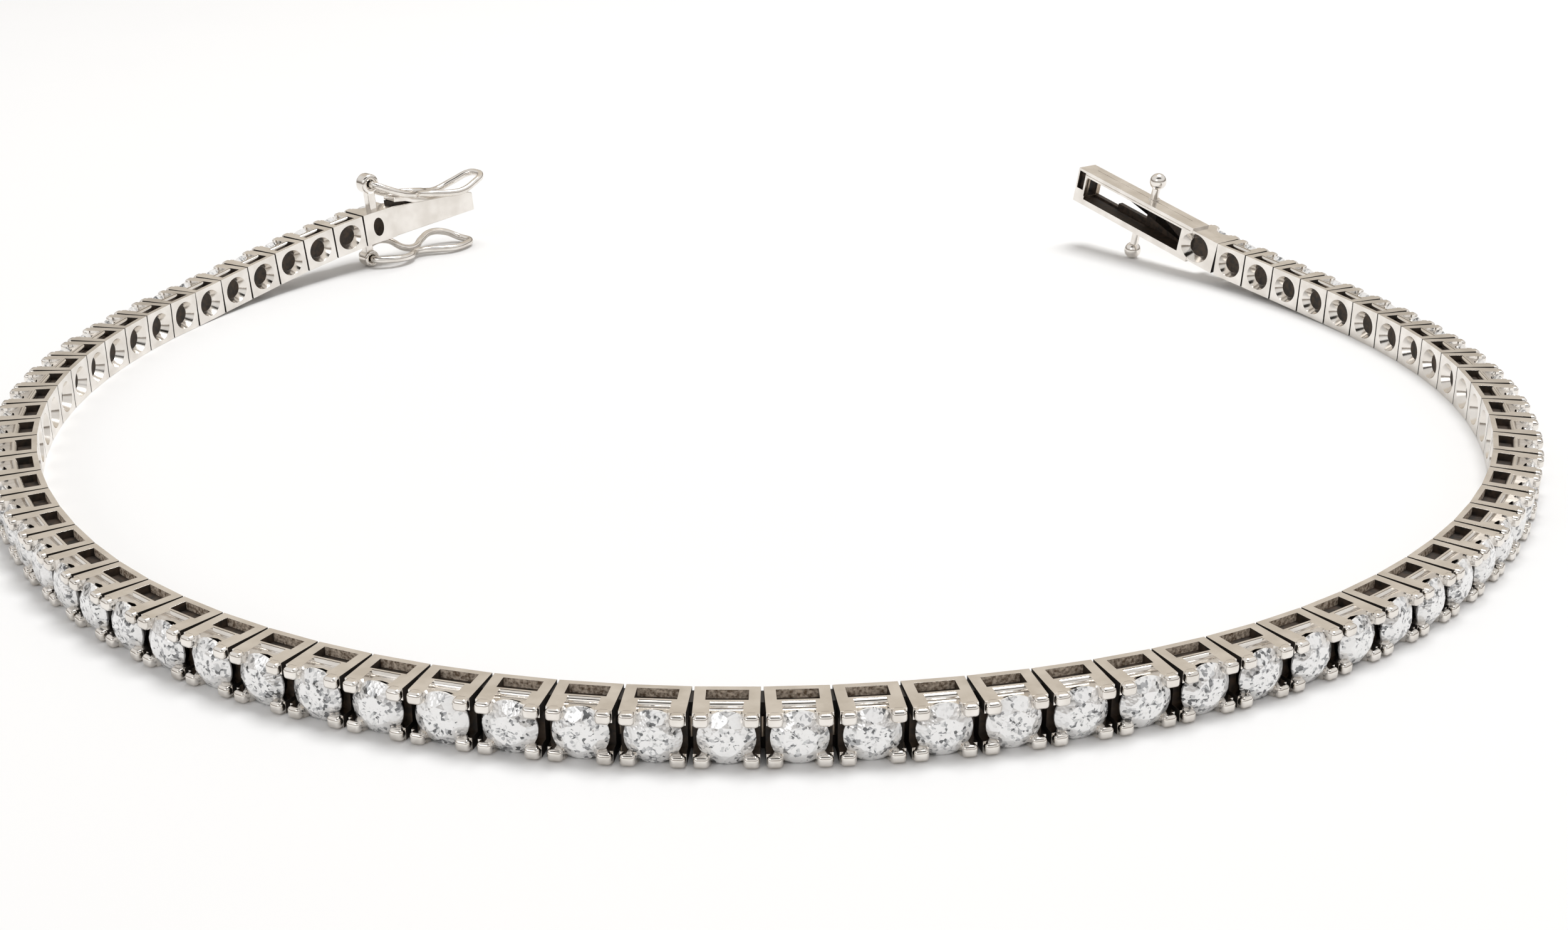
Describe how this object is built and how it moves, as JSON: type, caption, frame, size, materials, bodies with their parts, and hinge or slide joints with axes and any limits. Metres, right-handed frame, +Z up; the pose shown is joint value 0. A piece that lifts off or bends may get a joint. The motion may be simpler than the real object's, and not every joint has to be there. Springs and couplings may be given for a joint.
{
  "type": "tennis bracelet",
  "caption": "Slim bracelet of claw-set round stones in box links, standing open on its edge, with a tongue, a box catch with ball pegs and two hinged safety latches.",
  "frame": {"origin": "middle of the bracelet's footprint, on the surface it stands on", "axes": "+Z up across the links' height, -Y towards the closed front of the row, the tongue end at -X and the box end at +X"},
  "size_m": [0.0778, 0.0726, 0.0062],
  "materials": {
    "white_gold": "polished, faintly warm",
    "clear_stone": "cut and polished"
  },
  "bodies": {
    "bracelet": {"stone_row_left": "white_gold", "stone_row_right": "white_gold", "clasp_tongue": "white_gold", "clasp_box": "white_gold"},
    "upper_latch": {"upper_safety_latch": "white_gold"},
    "lower_latch": {"lower_safety_latch": "white_gold"}
  },
  "joints": [
    {"name": "upper_latch_hinge", "type": "hinge", "parent": "bracelet", "child": "upper_latch", "pos_m": [-0.02641, 0.02912, 0.00553], "axis": [0.7314, -0.682, 0], "range_deg": [0, 100]},
    {"name": "lower_latch_hinge", "type": "hinge", "parent": "bracelet", "child": "lower_latch", "pos_m": [-0.02664, 0.02888, 0.00058], "axis": [0.7314, -0.682, 0], "range_deg": [-90, 12]}
  ]
}
